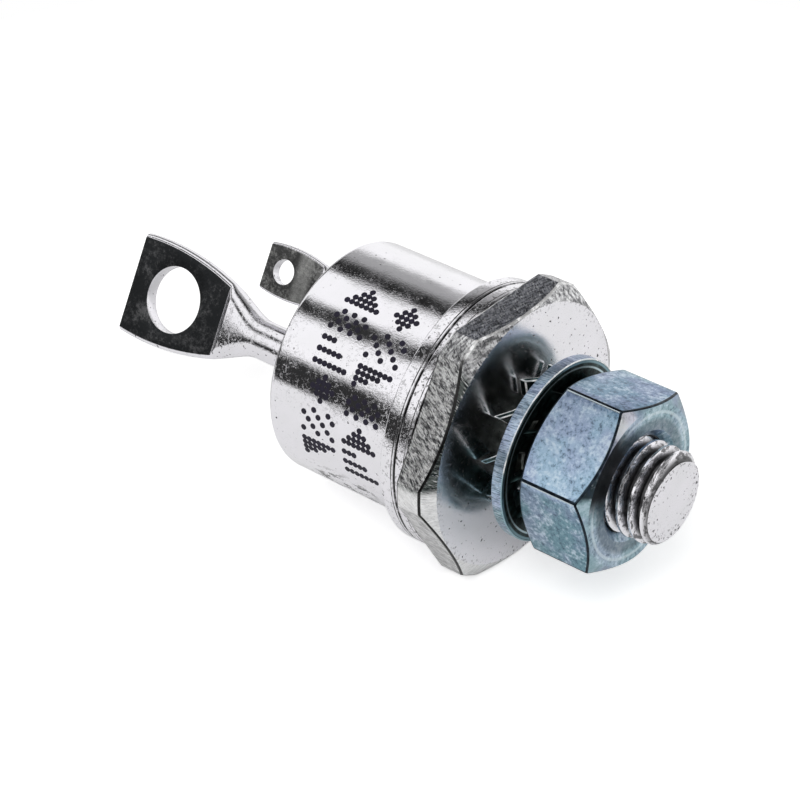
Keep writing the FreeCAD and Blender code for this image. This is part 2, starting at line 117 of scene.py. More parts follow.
def setInPlace(piece):
    # the object goes to the origin and its place goes into its mesh
    pick(piece)
    bpy.ops.object.transform_apply(location=True, rotation=True, scale=True)


def tidyMesh(piece):
    startEdit(piece)
    bpy.ops.mesh.remove_doubles(threshold=closeTogether)
    bpy.ops.mesh.normals_make_consistent(inside=False)
    endEdit()


def smooth(piece, angle):
    pick(piece)
    bpy.ops.object.shade_smooth_by_angle(angle=math.radians(angle))


def addModifier(piece, kind, **settings):
    modifier = piece.modifiers.new(kind.title(), kind)
    for name, value in settings.items():
        setattr(modifier, name, value)
    pick(piece)
    bpy.ops.object.modifier_apply(modifier=modifier.name)


def combine(piece, tool, operation):
    # cut with, keep inside of, or join on another shape, which is then used up
    addModifier(piece, "BOOLEAN", operation=operation, object=tool, solver="EXACT")
    bpy.data.objects.remove(tool)


def slotOf(piece, material):
    return piece.data.materials.find(material.name)


def easeEdges(piece, width, segments, angle, material, clamp=True):
    # edges sharper than the angle are rounded off in the material given
    addModifier(piece, "BEVEL", width=width * mm, segments=segments, limit_method="ANGLE",
                material=slotOf(piece, material), angle_limit=math.radians(angle),
                use_clamp_overlap=clamp, loop_slide=True)


def dress(piece, *materials):
    for material in materials:
        piece.data.materials.append(material)


def dressFaces(piece, material, wanted):
    # wanted is asked with how far a face looks along the stud, its place, and the distances
    # of its centre and its farthest corner from the axis
    def reach(point):
        return math.hypot(point.y, point.z - axisHeight) / mm

    slot = slotOf(piece, material)
    points = piece.data.vertices
    for face in piece.data.polygons:
        far = max(reach(points[corner].co) for corner in face.vertices)
        if wanted(SimpleNamespace(facing=face.normal.x, place=(face.center.x - seatPlace) / mm,
                                  near=reach(face.center), far=far)):
            face.material_index = slot


def roundCorners(corners, segments):
    # an outline of (place, radius) corners; a third number rounds that corner
    points = []
    count = len(corners)
    for index, corner in enumerate(corners):
        if len(corner) < 3:
            points.append(corner)
            continue
        here = Vector(corner[:2])
        before = (Vector(corners[index - 1][:2]) - here).normalized()
        after = (Vector(corners[(index + 1) % count][:2]) - here).normalized()
        half = before.angle(after) / 2
        reach = corner[2] / math.tan(half)
        middle = here + (before + after).normalized() * corner[2] / math.sin(half)
        start = here + before * reach - middle
        swing = start.angle_signed(here + after * reach - middle)
        for step in range(segments + 1):
            turned = Matrix.Rotation(-swing * step / segments, 2) @ start
            points.append(tuple(middle + turned))
    return points


def drawOutline(name, points, closed=False):
    # one vertex, extruded along the outline in the upright plane through the axis
    bpy.ops.mesh.primitive_plane_add(size=mm)
    piece = bpy.context.object
    piece.name = piece.data.name = name
    startEdit(piece)
    bpy.ops.mesh.merge(type="CENTER")
    here = Vector()
    for index, (place, radius) in enumerate(list(points) + ([points[0]] if closed else [])):
        there = Vector(axisPoint(place, radius))
        if index == 0:
            bpy.ops.transform.translate(value=there - here)
        else:
            extrude(*(there - here))
        here = there
    endEdit()
    return piece


def turnOnLathe(name, corners, steps, closed=False, segments=5):
    piece = drawOutline(name, roundCorners(corners, segments), closed)
    startEdit(piece)
    bpy.ops.mesh.spin(steps=steps, angle=2 * math.pi, center=axisCentre, axis=(1, 0, 0))
    endEdit()
    tidyMesh(piece)
    return piece


def aboutAxis(turn):
    # the matrix of a turn about the stud's axis
    centre = Matrix.Translation(axisCentre)
    return centre @ Matrix.Rotation(math.radians(turn), 4, "X") @ centre.inverted()


def turnAboutAxis(piece, turn):
    piece.matrix_world = aboutAxis(turn)
    setInPlace(piece)


def moveToLine(piece, offset):
    # from the stud's axis to a terminal's line, and round to the terminals' slant
    piece.location = (0, 0, offset * mm)
    setInPlace(piece)
    turnAboutAxis(piece, slant)


def addBar(name, sides, radius, start, end):
    # a bar along the stud
    bpy.ops.mesh.primitive_cylinder_add(
        vertices=sides, radius=radius * mm, depth=(end - start) * mm,
        location=axisPoint((start + end) / 2), rotation=(0, math.pi / 2, 0))
    piece = bpy.context.object
    piece.name = piece.data.name = name
    setInPlace(piece)
    return piece


def addCopy(piece):
    copy = piece.copy()
    copy.data = piece.data.copy()
    bpy.context.scene.collection.objects.link(copy)
    return copy


def finishPiece(piece, slot, *nodes):
    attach(piece, "root")
    if nodes:
        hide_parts(*nodes)
    print("made", piece.name, len(piece.data.polygons), "faces")


class Strand:
    # one output of a node; the usual signs add the Math nodes
    def __init__(self, bench, socket):
        self.bench = bench
        self.socket = socket

    def join(self, operation, first, second):
        return self.bench.node("Math", {"operation": operation}, {0: first, 1: second})

    def __add__(self, other):
        return self.join("ADD", self, other)

    def __radd__(self, other):
        return self.join("ADD", other, self)

    def __sub__(self, other):
        return self.join("SUBTRACT", self, other)

    def __rsub__(self, other):
        return self.join("SUBTRACT", other, self)

    def __mul__(self, other):
        return self.join("MULTIPLY", self, other)

    def __rmul__(self, other):
        return self.join("MULTIPLY", other, self)

    def __pow__(self, other):
        return self.join("POWER", self, other)


class Bench:
    # the nodes of one material or of the world
    def __init__(self, tree):
        self.tree = tree
        self.tree.nodes.clear()

    def node(self, kind, settings=None, sockets=None, output=0):
        made = self.tree.nodes.new("ShaderNode" + kind)
        for name, value in (settings or {}).items():
            setattr(made, name, value)
        for name, value in (sockets or {}).items():
            self.feed(made.inputs[name], value)
        return Strand(self, made.outputs[output])

    def feed(self, socket, value):
        if isinstance(value, Strand):
            self.tree.links.new(value.socket, socket)
        elif isinstance(value, tuple) and len(value) == 3 and socket.type == "RGBA":
            socket.default_value = (*value, 1)
        else:
            socket.default_value = value

    def fade(self, value, start, end, low=0.0, high=1.0):
        # softly from low to high while the value goes from start to end
        sockets = {"Value": value, "From Min": start, "From Max": end, "To Min": low,
                   "To Max": high}
        return self.node("MapRange", {"interpolation_type": "SMOOTHSTEP"}, sockets)

    def blend(self, share, first, second):
        # the first colour where the share is 0, the second where it is 1
        settings = {"data_type": "RGBA", "clamp_factor": True}
        return self.node("Mix", settings, {0: share, 6: first, 7: second}, output=2)

    def grain(self, size, detail=2.0, rough=0.5, where=None, seed=0.0):
        # soft noise with lumps of about the size given, in millimetres
        place = where or self.node("TexCoord", output="Object")
        sockets = {"Vector": place, "W": seed, "Scale": 1 / (size * mm), "Detail": detail,
                   "Roughness": rough}
        return self.node("TexNoise", {"noise_dimensions": "4D"}, sockets)

    def split(self, vector):
        parts = self.node("SeparateXYZ", None, {0: vector}).socket.node
        return [Strand(self, output) for output in parts.outputs]

    def roundAxis(self):
        # place along the stud, angle round it from the top, and distance from it
        x, y, z = self.split(self.node("TexCoord", output="Object"))
        z = z - axisHeight
        return x, y.join("ARCTAN2", y, z), (y * y + z * z) ** 0.5

    def wrap(self, radius, longer, thinner, lean=0.0):
        # a sheet rolled round the stud, to draw strokes on; a lean of 0 lies along the stud
        x, angle, _ = self.roundAxis()
        flat = self.node("CombineXYZ", None, {0: x, 1: angle * (radius * mm)})
        return self.node("Mapping", {"vector_type": "TEXTURE"}, {
            "Vector": flat, "Rotation": (0, 0, math.radians(lean)),
            "Scale": (longer, thinner, 1)})

    def line(self, value, middle, half):
        # 1 on a line where the value is near its middle
        offset = self.node("Math", {"operation": "ABSOLUTE"}, {0: value - middle})
        return self.fade(offset, half * 1.5, half * 0.5)

    def step(self, angle, degrees, soft=2.0):
        # from 0 to 1 where the angle round the stud passes the degrees given
        return self.fade(angle, math.radians(degrees - soft), math.radians(degrees + soft))

    def paintRings(self, tone, reach, rings):
        # painted highlight and shade rings about the stud: radius, half width, strength and shade
        for ring, half, share, shade in rings:
            tone = self.blend(self.line(reach, ring * mm, half * mm) * share, tone, shade)
        return tone


class Finish(Bench):
    # one material and the shader that its nodes end in
    def __init__(self, name, **constants):
        self.material = bpy.data.materials.new(name)
        self.material.use_nodes = True
        super().__init__(self.material.node_tree)
        self.shader = self.tree.nodes.new("ShaderNodeBsdfPrincipled")
        end = self.tree.nodes.new("ShaderNodeOutputMaterial")
        self.tree.links.new(self.shader.outputs[0], end.inputs["Surface"])
        for label, value in constants.items():
            self.set(label.replace("_", " ").title(), value)

    def set(self, socket, value):
        self.feed(self.shader.inputs[socket], value)

    def bump(self, height, depth):
        # the surface rises by the depth given, in millimetres, where the height is 1
        self.set("Normal", self.node("Bump", None, {"Height": height, "Distance": depth * mm}))


def makeBrightNickel(name, colour, rough, peel, specks, rim=None, seams=(), rootShadeAndGrime=None,
                     scuffs=False):
    # plate with orange peel and pits; soiling gathers at a rim and in scuffs; painted shade lines
    # lie along seams, and in a thread painted shade fills the roots, with soiled streaks
    made = Finish(name, metallic=1.0)
    cloud = made.grain(1.8, detail=3)
    patch = made.fade(made.grain(2.2, seed=8.0), 0.38, 0.6, low=0.35)
    fine = made.grain(0.13, detail=3, rough=0.7)
    place, angle, reach = made.roundAxis()
    lowerSide = 1 - made.step(angle, -45, soft=9) * 0.7
    pits = made.fade(made.grain(0.24, detail=4, rough=0.75, seed=2.6), 0.54, 0.64)
    pits = pits * patch * lowerSide
    limit = 0.74 - 0.05 * specks
    spot = made.fade(made.grain(0.26, seed=3.1), limit, limit + 0.03)
    dirtAndShade = []
    if rim:
        near = made.fade(reach, rim[0] * mm, rim[1] * mm)
        specked = made.grain(0.24, detail=3, rough=0.65, seed=5.7)
        dirtAndShade.append(made.fade(specked, 0.55, 0.62) * near)
    # painted shade: a broken dark line along each seam, on the outer surfaces only
    for seam, half in seams:
        outside = made.fade(reach, 7.7 * mm, 7.9 * mm)
        broken = made.fade(made.grain(0.6, seed=seam), 0.3, 0.5, low=0.4)
        dirtAndShade.append(made.line(place, along(seam), half * mm) * broken * outside)
    if rootShadeAndGrime:
        bottom, top = rootShadeAndGrime
        streak = made.grain(0.4, detail=4, rough=0.7, seed=7.7,
                            where=made.wrap(3, longer=0.5, thinner=2.2))
        # painted shade: the thread's flanks and roots go nearly black inward of the crests
        dirtAndShade.append(made.fade(reach, top * mm, bottom * mm) * 0.92)
        dirtAndShade.append(made.fade(streak, 0.5, 0.58) * 0.8)
    if scuffs:
        low = made.step(angle, -150, soft=5) * (1 - made.step(angle, -115, soft=6))
        back = made.fade(place, along(-12.4), along(-11.2))
        front = made.fade(place, along(-6.2), along(-7.4))
        streak = made.grain(0.7, detail=4, rough=0.7, seed=1.3,
                            where=made.wrap(can["radius"], longer=1.6, thinner=0.7, lean=12))
        dirtAndShade.append(made.fade(streak, 0.52, 0.55) * low * (back * front))
    for layer in dirtAndShade:
        spot = spot + layer * (1 - spot)
    tone = made.blend(cloud, (colour - 0.07, colour - 0.07, colour - 0.05),
                      (colour + 0.05, colour + 0.03, colour + 0.08))
    made.set("Base Color", made.blend(spot, tone, grey(0.05)))
    made.set("Roughness", rough + made.fade(cloud, 0.35, 0.7) * 0.05 + spot * 0.3)
    made.bump(fine * patch + pits * 0.5 - spot * 0.7, peel)
    return made.material


def makeBarNickel(name, tones, ground=0.05, limits=(-30, -90)):
    # plate over a bar's drawn flats, with short bright strokes; each tone is one for the flats
    # above, in the middle and under, which meet at the limits
    made = Finish(name, metallic=1.0)
    flat = base["acrossFlats"] / 2
    _, angle, _ = made.roundAxis()
    # painted light and shade: the flats' tones, and how many white and black strokes show, change
    # with the angle round the stud
    upper = made.step(angle, limits[0])
    lower = 1 - made.step(angle, limits[1])
    steep = made.grain(0.3, detail=4, rough=0.68,
                       where=made.wrap(flat, longer=2.0, thinner=0.55, lean=78))
    shallow = made.grain(0.3, detail=4, rough=0.7, seed=2.2,
                         where=made.wrap(flat, longer=1.8, thinner=0.6, lean=-24))
    thin = made.grain(0.17, detail=3, rough=0.7, seed=4.2,
                      where=made.wrap(flat, longer=2.4, thinner=0.5, lean=-38))
    strokes = steep * upper + shallow * (1 - upper)
    dark, light = [made.blend(lower, made.blend(upper, middle, above), under)
                   for above, middle, under in tones]
    tone = made.blend(made.fade(strokes, 0.4, 0.62), dark, light)
    white = made.fade(thin, 0.56, 0.62) * (1 - upper * 0.6)
    black = made.fade(thin, 0.44, 0.38) * (1 - lower * 0.7)
    tone = made.blend(black, tone, (0.03, 0.03, 0.035))
    made.set("Base Color", made.blend(white, tone, grey(1)))
    made.set("Roughness", 0.24 + strokes * 0.12)
    made.bump(strokes + white * 0.6, ground)
    return made.material


def makeEdge(name, dark, light, turn):
    # a crisp edge with a painted highlight above the angle given, and painted shade under it
    made = Finish(name)
    _, angle, _ = made.roundAxis()
    uneven = made.fade(made.grain(0.5, detail=3, seed=4.4), 0.42, 0.6)
    bright = made.step(angle, turn, soft=4) * (0.6 + uneven * 0.4)
    made.set("Base Color", made.blend(bright, dark, light))
    made.set("Metallic", 1 - bright * 0.9)
    made.set("Roughness", 0.16 + uneven * 0.15)
    return made.material


def makeBlueZinc(name, shades, frosted=1.0, lines=False, rings=(), shadow=None):
    # the film's shade changes at the angles given, painted light and shade that differ from flat to
    # flat; frost, stains and brushed lines break it up
    made = Finish(name, metallic=0.92)
    _, angle, reach = made.roundAxis()
    # painted light and shade: the tint steps from one shade to the next at each angle
    tint = shades[0]
    for turn, shade in shades[1:]:
        tint = made.blend(made.step(angle, turn), tint, shade)
    drift = made.fade(made.grain(2.2, seed=2.0), 0.42, 0.62)
    tint = made.blend(drift * 0.35, tint, (0.36, 0.34, 0.58))
    frost = made.grain(0.34, detail=6, rough=0.8, seed=5.0)
    cloud = made.grain(1.7, detail=4, rough=0.6, seed=9.0)
    pale = made.fade(frost * 0.65 + cloud * 0.35, 0.49, 0.59)
    stain = made.fade(frost * 0.75 + cloud * 0.25, 0.49, 0.39)
    tone = made.blend(pale * (0.75 * frosted), tint, (0.72, 0.83, 0.93))
    tone = made.blend(stain * (0.8 * frosted), tone, (0.05, 0.08, 0.13))
    height = frost
    if lines:
        cross = made.grain(0.075, detail=3, rough=0.7, seed=1.0,
                           where=made.wrap(6.2, longer=10, thinner=1.0, lean=6))
        tone = made.blend(made.fade(cross, 0.49, 0.4) * 0.75, tone, (0.05, 0.08, 0.12))
        tone = made.blend(made.fade(cross, 0.54, 0.64) * 0.6, tone, (0.8, 0.88, 0.95))
        height = frost + cross
    # rings are painted highlight and shade lines about the stud
    tone = made.paintRings(tone, reach, rings)
    # a painted shadow, nearly black, between two angles
    if shadow:
        start, end = shadow
        shaded = made.step(angle, start, soft=9) * (1 - made.step(angle, end, soft=9))
        tone = made.blend(shaded * (0.82 + frost * 0.3), tone, (0.012, 0.015, 0.018))
    made.set("Base Color", tone)
    made.set("Roughness", 0.25 + frost * 0.14)
    made.bump(height, 0.014)
    return made.material


def makePaintedShade(name, dark, light, rings=()):
    # painted shade: edges, hollows and faces in gaps drawn nearly black
    made = Finish(name, metallic=0.9)
    _, _, reach = made.roundAxis()
    cloud = made.grain(0.5, detail=3, seed=4.0)
    tone = made.blend(made.fade(cloud, 0.4, 0.75), dark, light)
    made.set("Base Color", made.paintRings(tone, reach, rings))
    made.set("Roughness", 0.24 + cloud * 0.12)
    made.bump(made.grain(0.2), 0.01)
    return made.material


def makeForgedGrey(name, dark, light, start, sheen=None):
    # tinned faces, dull where the die flattened them; a sheen is a painted highlight, a bright band
    # across them
    made = Finish(name, metallic=1.0)
    cloud = made.grain(1.6, detail=4, rough=0.6, seed=1.5)
    mottle = made.grain(0.22, detail=5, rough=0.75, seed=6.5)
    fine = made.grain(0.12, rough=0.6)
    share = made.fade(mottle * 0.5 + cloud * 0.5, start, start + 0.2)
    if sheen:
        middle, half = sheen
        place, _, _ = made.roundAxis()
        band = made.line(place, along(middle), half * mm)
        share = share + band * (1 - share) * (mottle * 1.3 - 0.1)
    made.set("Base Color", made.blend(share, dark, light))
    made.set("Roughness", 0.28 + mottle * 0.16)
    made.bump(fine + mottle * 2, 0.014)
    return made.material


def makeSmooth(name, dark, light, rough, metallic, size=0.5, **constants):
    # a clean surface with a slight cloud in its colour
    made = Finish(name, metallic=metallic, **constants)
    cloud = made.grain(size, detail=3)
    made.set("Base Color", made.blend(cloud, dark, light))
    made.set("Roughness", rough + made.grain(size / 3) * 0.12)
    made.bump(cloud, 0.01)
    return made.material


base = {
    "acrossFlats": 18.2,
    "thickness": 2.4,
    "turnedRadius": 10.03,
    "turnedPast": 0.3,
    "faceRadius": 9.0,
    "chamferAngle": 30,
    "edge": 0.11,
    "pedestalRadius": 6.2,
    "pedestalHeight": 1.5,
    "flatReach": 9.6,  # middles of flats are nearer to the axis
}
stud = {
    "start": -1.0,
    "radius": 3.175,
    "length": 11.5,
    "pitch": 0.907,
    "depth": 0.55,
    "crest": 0.16,
    "root": 0.16,
    "ease": 0.05,
    "easeDrop": 0.08,
    "reliefEnd": 0.9,
    "reliefRadius": 2.66,
    "endChamfer": 0.42,
    "turnedPast": (0.5, 0.1, 0.2),  # past the start, the crests and the end
    "shadedEnd": 3.9,
    "threadSteps": 56,
    "steps": 128,
}
can = {
    "top": -14.8,
    "ceiling": -14.1,
    "radius": 8.05,
    "bore": 7.35,
    "flangeStart": -4.55,
    "flangeEnd": -3.4,
    "flangeRadius": 9.08,
    "topRound": 0.35,
    "flangeRound": 0.16,
    "fillet": 0.12,
}
ring = {"start": -3.4, "thickness": 1.0, "radius": 9.08, "bore": 6.25, "round": 0.16}
seals = {  # offset of its line, radius of its pin and of its hole
    "cathode": (-1.5, 1.375, 2.425),
    "gate": (3.4, 1.0, 1.65),
}
bead = {
    # height over the can's top, and how far out from the pin's face
    "atPin": [(-0.33, -0.02), (-0.18, 0.06), (-0.04, 0.2), (0.06, 0.45)],
    # the same, and how far in from the hole's edge
    "atEdge": [(0.08, 0.25), (0.02, 0)],
    "depth": 2.2,
    "pinOverlap": 0.02,
}

# place along the stud and half width of each dark seam line, painted shade along the seams and
# rounded edges
rimSeams = [(-3.4, 0.09), (-3.63, 0.04), (-2.43, 0.07), (-2.7, 0.03)]
canSeams = [(-14.72, 0.09), (-4.62, 0.07), (-3.4, 0.09), (-3.63, 0.04)]
# the thread's roots get painted shade, with soiled streaks
threadNickel = makeBrightNickel("thread nickel", colour=0.92, rough=0.07, peel=0.012, specks=1.4,
                                rootShadeAndGrime=(2.7, 3.08))
pinNickel = makeBrightNickel("pin nickel", colour=0.87, rough=0.1, peel=0.014, specks=1.7)
stackNickel = makeBrightNickel("stack nickel", colour=0.9, rough=0.08, peel=0.014, specks=1.7,
                               rim=(8.2, 9.6), seams=rimSeams)
canNickel = makeBrightNickel("can nickel", colour=0.92, rough=0.05, peel=0.011, specks=0.9,
                             rim=(8.3, 10.2), seams=canSeams, scuffs=True)
faceNickel = makeBrightNickel("face nickel", colour=0.95, rough=0.15, peel=0.005, specks=1.6,
                              rim=(8.2, 9.8))
endNickel = makeBrightNickel("end nickel", colour=0.88, rough=0.12, peel=0.012, specks=1.4,
                             rim=(1.5, 2.7))
# painted light and shade: on the flats the top ones darker, the middle and lower ones lighter
# the darks and then the lights, of the flats above, in the middle and under
barNickel = makeBarNickel("bar nickel", [
    [(0.085, 0.09, 0.105), (0.1, 0.1, 0.105), grey(0.38)],
    [(0.4, 0.41, 0.46), grey(0.85), grey(0.8)]])
# on the corners, painted shade in the middle and painted highlights above and under
coneNickel = makeBarNickel("corner nickel", [
    [(0.16, 0.16, 0.17), (0.02, 0.026, 0.026), grey(0.78)],
    [(0.92, 0.92, 0.93), (0.16, 0.18, 0.17), grey(0.97)]],
    ground=0.03, limits=(-38, -86))
# painted highlight on the hexagon's eased edges above -33 degrees, painted shade under it
edgeNickel = makeEdge("edge nickel", dark=grey(0.03), light=grey(1), turn=-33)
shadedNickel = makePaintedShade("shaded nickel", (0.05, 0.055, 0.05), (0.16, 0.17, 0.16))
sealGlass = makeSmooth("seal glass", (0.03, 0.06, 0.08), (0.07, 0.12, 0.14), 0.12, 0.0, size=0.9,
                       coat_weight=0.4)
print("nickel and glass made")


def makeBase(size):
    corner = size["acrossFlats"] / math.sqrt(3)
    piece = addBar("hexagon", 6, corner, -size["thickness"], 0)
    dress(piece, coneNickel, barNickel, faceNickel, edgeNickel)
    slope = math.tan(math.radians(size["chamferAngle"]))
    drop = (size["turnedRadius"] - size["faceRadius"]) * slope
    past = size["turnedPast"]
    corners = [
        (-size["thickness"] - past, 0),
        (-size["thickness"] - past, size["turnedRadius"]),
        (-drop, size["turnedRadius"]),
        (past, size["faceRadius"] - past / slope),
        (past, 0)]
    combine(piece, turnOnLathe("turning", corners, fineTurn), "INTERSECT")
    dressFaces(piece, coneNickel, lambda face: True)
    dressFaces(piece, barNickel,
               lambda face: abs(face.facing) < 0.05 and face.near < size["flatReach"])
    dressFaces(piece, faceNickel, lambda face: face.facing > 0.95)
    # the eased edges take the painted highlight and shade of edge nickel
    easeEdges(piece, size["edge"], segments=3, angle=40, material=edgeNickel, clamp=False)
    back = -size["thickness"]
    pedestal = addBar("pedestal", plainTurn, size["pedestalRadius"],
                      back - size["pedestalHeight"], back / 2)
    combine(piece, pedestal, "UNION")
    smooth(piece, 24)
    finishPiece(piece, "base_plate", "stud_base")


def threadProfile(size):
    # one turn of thread: root, flank and crest with an eased edge, and the same mirrored
    pitch = size["pitch"]
    root = size["radius"] - size["depth"]
    crest = size["radius"]
    half = size["crest"] / 2
    foot = size["root"] / 2
    first = [
        (0, root),
        (foot, root),
        (pitch / 2 - half - size["ease"], crest - size["easeDrop"]),
        (pitch / 2 - half, crest)]
    return first + [(pitch - place, radius) for place, radius in reversed(first)]


def makeThreadRod(name, size):
    # the profile wound past both ends, which are then cut off square and closed
    start = size["start"]
    end = size["length"]
    shift = end + size["pitch"]
    turns = math.ceil((end - start) / size["pitch"]) + 3
    piece = drawOutline(name, [(shift + place, radius) for place, radius in threadProfile(size)])
    startEdit(piece)
    bpy.ops.mesh.screw(steps=size["threadSteps"], turns=turns, center=axisCentre, axis=(-1, 0, 0))
    bpy.ops.mesh.select_all(action="SELECT")
    bpy.ops.mesh.remove_doubles(threshold=closeTogether)
    for place, way in ((end, 1), (start, -1)):
        bpy.ops.mesh.select_all(action="SELECT")
        bpy.ops.mesh.bisect(plane_co=axisPoint(place), plane_no=(way, 0, 0), use_fill=True,
                            clear_outer=True, threshold=0.0001 * mm)
    endEdit()
    tidyMesh(piece)
    return piece


def makeStud(size):
    # the turned relief and end chamfer slope at 45 degrees, from outside of the crests
    piece = makeThreadRod("stud", size)
    dress(piece, threadNickel, shadedNickel, endNickel)
    before, around, after = size["turnedPast"]
    outside = size["radius"] + around
    inside = size["reliefRadius"]
    start = size["start"] - before
    end = size["length"] + after
    corners = [
        (start, 0),
        (start, inside),
        (size["reliefEnd"], inside),
        (size["reliefEnd"] + outside - inside, outside),
        (size["length"] - size["endChamfer"] - around, outside),
        (end, outside - size["endChamfer"] - around - after),
        (end, 0)]
    combine(piece, turnOnLathe("envelope", corners, size["steps"]), "INTERSECT")
    dressFaces(piece, shadedNickel, lambda face: face.place < size["shadedEnd"])
    dressFaces(piece, endNickel,
               lambda face: face.facing > 0.95 and face.place > size["length"] - slack)
    smooth(piece, 40)
    finishPiece(piece, "base_plate", "stud_base")


makeBase(base)
makeStud(stud)
print("base and stud made")


def makeCan(size):
    corners = [
        (size["top"], 0),
        (size["top"], size["radius"], size["topRound"]),
        (size["flangeStart"], size["radius"], size["fillet"]),
        (size["flangeStart"], size["flangeRadius"], size["flangeRound"]),
        (size["flangeEnd"], size["flangeRadius"], size["flangeRound"]),
        (size["flangeEnd"], size["bore"]),
        (size["ceiling"], size["bore"], size["topRound"]),
        (size["ceiling"], 0)]
    piece = turnOnLathe("can", corners, fineTurn)
    for label, (offset, _, hole) in seals.items():
        cutter = addBar(label + " hole", smallTurn, hole, size["top"] - 1, size["ceiling"] + 1)
        moveToLine(cutter, offset)
        combine(piece, cutter, "DIFFERENCE")
    dress(piece, canNickel)
    smooth(piece, 30)
    finishPiece(piece, "can_plate", "cap_shell")


def turnRing(name, size, steps, segments):
    # a flat ring with rounded outer edges
    start = size["start"]
    end = start + size["thickness"]
    corners = [
        (start, size["bore"]),
        (start, size["radius"], size["round"]),
        (end, size["radius"], size["round"]),
        (end, size["bore"])]
    return turnOnLathe(name, corners, steps, closed=True, segments=segments)


def makeRing(size):
    piece = turnRing("weld_rim", size, fineTurn, 5)
    dress(piece, stackNickel)
    smooth(piece, 32)
    finishPiece(piece, "ring_plate", "weld_ring")


def makeGlass(label):
    # the glass creeps up the pin outside the can, and fills the hole inside it
    offset, pin, edge = seals[label]
    top = can["top"]
    corners = [(top + height, pin + out) for height, out in bead["atPin"]]
    corners += [(top + height, edge - back) for height, back in bead["atEdge"]]
    corners += [(top + bead["depth"], edge), (top + bead["depth"], pin - bead["pinOverlap"])]
    piece = turnOnLathe(label + "_bead", corners, smallTurn, closed=True)
    moveToLine(piece, offset)
    dress(piece, sealGlass)
    smooth(piece, 50)
    finishPiece(piece, "seal_glass", label + "_glass")


makeCan(can)
makeRing(ring)
makeGlass("cathode")
makeGlass("gate")
print("can made")

# Two rows of plain figures in ink dots. Each is drawn as lines of dots along the stud, one further
# round the can than the last, with an empty line after it.
marks = {
    "dot": 0.41,
    "sides": 10,
    "proud": 0.02,
    "pitch": 0.4,
    "turnPitch": 2.85,
    "startTurn": -105,
    "rows": {
        -11.75: "stair hatch diamond bars checker wedge",
        -8.35: "bars wedge checker stair hatch diamond",
    },
    "figures": {
        "stair": ["1......", "111....", "11111..", "1111111"],
        "hatch": ["1..1..1", "..1..1.", ".1..1..", "1..1..1", "..1..1."],
        "diamond": ["...1...", "..111..", ".11111.", "..111..", "...1..."],
        "wedge": ["1111111", ".11111.", "..111..", "...1..."],
        "bars": ["1111111", ".......", "11111..", ".......", "111...."],
        "checker": ["1.1.1.1", ".1.1.1.", "1.1.1.1", ".1.1.1."],
    },
}


def dotSpots(size):
    # place along the stud and turn round it, of every dot
    for start, names in size["rows"].items():
        turn = size["startTurn"]
        for name in names.split():
            for line in size["figures"][name]:
                for count, shown in enumerate(line):
                    if shown == "1":
                        yield start + count * size["pitch"], turn
                turn += size["turnPitch"]
            turn += size["turnPitch"]


def makeMarks(size):
    # one dot, laid on top of the can, and a copy at every spot
    dot = addBar("ink_marks", size["sides"], size["dot"] / 2, -size["proud"], size["proud"])
    onTop = Matrix.Translation((0, 0, axisHeight + can["radius"] * mm))
    dot.matrix_world = (onTop @ Matrix.Rotation(math.pi / 2, 4, "Y")
                        @ Matrix.Translation((-seatPlace, 0, -axisHeight)))
    setInPlace(dot)
    dress(dot, markInk)
    copies = []
    for place, turn in dotSpots(size):
        copy = addCopy(dot)
        copy.matrix_world = aboutAxis(-turn) @ Matrix.Translation((along(place), 0, 0))
        copies.append(copy)
    pick(dot)
    bpy.ops.object.delete()
    for copy in copies:
        copy.select_set(True)
    bpy.context.view_layer.objects.active = copies[0]
    bpy.ops.object.join()
    piece = bpy.context.object
    piece.name = piece.data.name = "ink_marks"
    setInPlace(piece)
    finishPiece(piece, "can_plate")


markInk = makeSmooth("mark ink", grey(0.001), (0.01, 0.006, 0.03), 0.6, 0.0, size=1.1)
makeMarks(marks)
print("ink marks made")

nut = {
    "start": 3.73,
    "thickness": 5.2,
    "acrossFlats": 11.05,
    "turn": -16.8,
    "faceRadius": 5.425,
    "chamferAngle": 30,
    "bore": 3.225,
    "sink": 0.45,
    "lip": 0.12,
    "lipPast": 0.02,
    "lipRound": 0.1,
    "sinkRound": 0.12,
    "cornerEdge": 0.17,
    "endEdge": 0.1,
    "barPast": 1,
    "turnedPast": 0.3,
    "glintAngle": 20,  # strips turned less than this past a corner's middle get a painted highlight
}


